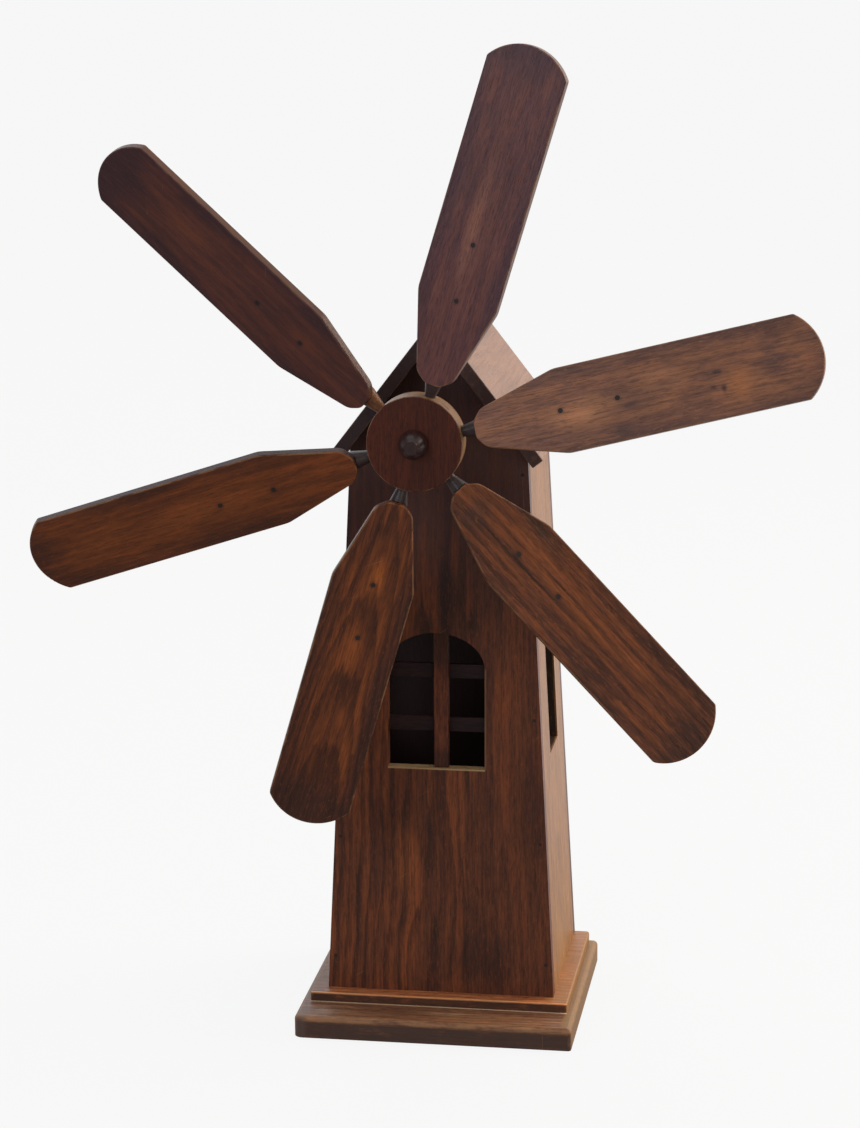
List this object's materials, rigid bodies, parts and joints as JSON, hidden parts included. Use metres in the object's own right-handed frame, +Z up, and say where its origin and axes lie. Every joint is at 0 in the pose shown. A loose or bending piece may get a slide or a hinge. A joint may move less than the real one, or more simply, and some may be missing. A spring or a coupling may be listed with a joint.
{
  "type": "model windmill",
  "caption": "Wooden model windmill: a tapered tower with a steep gable roof and arched windows on a stepped base, and a free-turning rotor of round-tipped paddle blades.",
  "frame": {"origin": "middle of the plinth's underside", "axes": "+Z up, -Y out of the front where the rotor turns, +X to the right seen from the front"},
  "size_m": [0.6786, 0.2795, 0.8862],
  "materials": {
    "base_wood": "dark brown stain, worn satin",
    "tower_wood": "dark reddish-brown stain, satin",
    "bar_wood": "brown stain",
    "roof_wood": "dark brown stain, scuffed satin",
    "raw_wood": "bare softwood",
    "brass": "dull",
    "iron": "dark, slightly rusted",
    "steel": "dull",
    "arm_wood": "dark brown stain, worn",
    "hub_wood": "dark brown stain, worn to bare wood at the rim",
    "blade_wood": "dark brown stain with streaked grain, satin"
  },
  "bodies": {
    "tower": {"plinth": "base_wood", "step_board": "base_wood", "front_wall": "tower_wood", "back_wall": "tower_wood", "left_wall": "tower_wood", "right_wall": "tower_wood", "window_mullion": "bar_wood", "window_rail_lower": "bar_wood", "window_rail_upper": "bar_wood", "roof_left": "roof_wood", "roof_right": "roof_wood", "foot_cleat_left": "raw_wood", "foot_cleat_right": "raw_wood", "bearing_board": "raw_wood", "front_bush": "brass", "rear_bush": "brass", "wall_nails": "iron", "plinth_screws": "steel"},
    "rotor": {"axle": "steel", "spacer_sleeve": "arm_wood", "front_washer": "brass", "rear_washer": "brass", "collar": "brass", "collar_pin": "steel", "hub_disc": "hub_wood", "hub_knob": "hub_wood", "blade_nails": "iron", "arm_1": "arm_wood", "blade_1": "blade_wood", "arm_2": "arm_wood", "blade_2": "blade_wood", "arm_3": "arm_wood", "blade_3": "blade_wood", "arm_4": "arm_wood", "blade_4": "blade_wood", "arm_5": "arm_wood", "blade_5": "blade_wood", "arm_6": "arm_wood", "blade_6": "blade_wood"}
  },
  "joints": [
    {"name": "rotor_spin", "type": "hinge", "parent": "tower", "child": "rotor", "pos_m": [-0.005, -0.135, 0.552], "axis": [0, 1, 0], "continuous": true}
  ]
}
